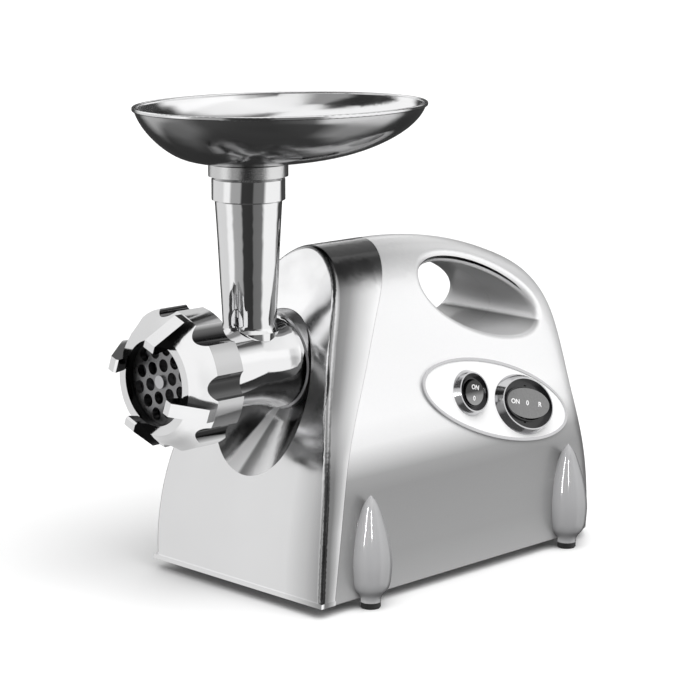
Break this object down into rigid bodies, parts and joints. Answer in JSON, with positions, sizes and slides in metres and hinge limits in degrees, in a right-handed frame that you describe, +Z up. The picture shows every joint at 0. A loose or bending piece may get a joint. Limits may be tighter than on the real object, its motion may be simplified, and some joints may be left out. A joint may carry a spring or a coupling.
{
  "type": "electric meat grinder",
  "caption": "Electric meat grinder: geared motor in a leaning casing with a hand-hole, twist-lock feed head with auger, knife, plate, lobed ring nut and oval tray, and two rocker switches.",
  "frame": {"origin": "middle of the overall length and width, on the surface that the feet stand on", "axes": "+Z up; -Y towards the head and its cutting plate, +Y to the rear wall; +X to the side with the switches"},
  "size_m": [0.1856, 0.351, 0.3032],
  "materials": {
    "chrome_housing": "polished chrome plating",
    "silver_casing": "satin silver-white lacquer",
    "grey_plastic": "moulded",
    "foot_grey": "gloss grey moulding",
    "rubber": "matt",
    "panel_white": "gloss white",
    "trim_chrome": "bright chrome trim",
    "switch_black": "gloss black",
    "rocker_grey": "satin grey",
    "cast_aluminium": "cast and tumbled",
    "screw_steel": "zinc plated",
    "polished_metal": "mirror-polished casting",
    "tray_steel": "polished stainless sheet",
    "brushed_ring": "brushed",
    "plate_steel": "ground",
    "knife_steel": "ground",
    "nylon": "natural nylon",
    "nylon_gear": "natural nylon",
    "gear_steel": "sintered steel",
    "shaft_steel": "ground",
    "bronze": "sintered bronze",
    "laminations": "stacked sheet",
    "copper": "enamelled copper",
    "black_plastic": "moulded",
    "carbon": "carbon"
  },
  "bodies": {
    "housing": {"front_housing": "chrome_housing", "right_casing": "silver_casing", "left_casing": "silver_casing", "base_plate": "grey_plastic", "foot_front_right": "foot_grey", "foot_front_left": "foot_grey", "foot_rear_right": "foot_grey", "foot_rear_left": "foot_grey", "pad_front_right": "rubber", "pad_front_left": "rubber", "pad_rear_right": "rubber", "pad_rear_left": "rubber", "control_panel": "panel_white", "panel_trim": "trim_chrome", "power_switch_bezel": "trim_chrome", "power_switch_body": "switch_black", "direction_switch_bezel": "trim_chrome", "direction_switch_body": "switch_black", "head_socket": "cast_aluminium", "socket_screws": "screw_steel", "output_bush": "bronze", "rear_bush": "bronze", "first_gear_pin": "shaft_steel", "second_gear_pin": "shaft_steel", "gearbox_case": "cast_aluminium", "gearbox_cover": "cast_aluminium", "gearbox_screws": "screw_steel", "stator_core": "laminations", "field_coils": "copper", "motor_rear_bracket": "black_plastic", "motor_spacers": "shaft_steel", "front_bearing": "shaft_steel", "rear_bearing": "shaft_steel", "brush_holders": "black_plastic", "carbon_brushes": "carbon", "motor_screws": "screw_steel", "casing_screws": "screw_steel", "base_screws": "screw_steel", "cord_gland": "black_plastic"},
    "auger_drive": {"auger": "cast_aluminium", "auger_washer": "nylon", "knife": "knife_steel", "output_shaft": "shaft_steel", "output_gear": "nylon_gear"},
    "head": {"feed_head": "polished_metal", "cutting_plate": "plate_steel"},
    "nut": {"ring_nut": "polished_metal"},
    "tray": {"tray": "tray_steel", "tray_neck": "brushed_ring"},
    "first_gear": {"first_gear": "nylon_gear"},
    "second_gear": {"second_gear": "gear_steel"},
    "rotor": {"rotor_shaft": "shaft_steel", "rotor_core": "laminations", "rotor_windings": "copper", "commutator": "copper", "motor_fan": "black_plastic", "motor_pinion": "gear_steel"},
    "power_rocker": {"power_rocker": "switch_black"},
    "direction_rocker": {"direction_rocker": "rocker_grey"}
  },
  "joints": [
    {"name": "rotor_spin", "type": "hinge", "parent": "housing", "child": "rotor", "pos_m": [0, 0.0555, 0.062], "axis": [0, 1, 0], "continuous": true},
    {"name": "first_gear_spin", "type": "hinge", "parent": "housing", "child": "first_gear", "pos_m": [-0.024, -0.0045, 0.08883], "axis": [0, 1, 0], "continuous": true},
    {"name": "second_gear_spin", "type": "hinge", "parent": "housing", "child": "second_gear", "pos_m": [0.01585, -0.0165, 0.09949], "axis": [0, 1, 0], "continuous": true},
    {"name": "auger_spin", "type": "hinge", "parent": "housing", "child": "auger_drive", "pos_m": [0, -0.0275, 0.144], "axis": [0, 1, 0], "continuous": true},
    {"name": "head_twist", "type": "hinge", "parent": "housing", "child": "head", "pos_m": [0, -0.0525, 0.144], "axis": [0, 1, 0], "range_deg": [0, 45]},
    {"name": "nut_unscrew", "type": "hinge", "parent": "head", "child": "nut", "pos_m": [0, -0.1455, 0.144], "axis": [0, -1, 0], "range_deg": [0, 540]},
    {"name": "tray_lift", "type": "slide", "parent": "head", "child": "tray", "axis": [0, 0, 1], "range_m": [0, 0.06]},
    {"name": "power_rocker_tilt", "type": "hinge", "parent": "housing", "child": "power_rocker", "pos_m": [0.06249, 0.0467, 0.1151], "axis": [0.0894, 0.9548, -0.2836], "range_deg": [-14, 0]},
    {"name": "direction_rocker_tilt", "type": "hinge", "parent": "housing", "child": "direction_rocker", "pos_m": [0.06698, 0.0945, 0.10079], "axis": [-0.2741, 0.2974, 0.9146], "range_deg": [0, 24]}
  ],
  "couplings": [
    {"joint": "first_gear_spin", "follows": "rotor_spin", "ratio": -0.2},
    {"joint": "second_gear_spin", "follows": "rotor_spin", "ratio": 0.044444},
    {"joint": "auger_spin", "follows": "rotor_spin", "ratio": -0.012698}
  ]
}
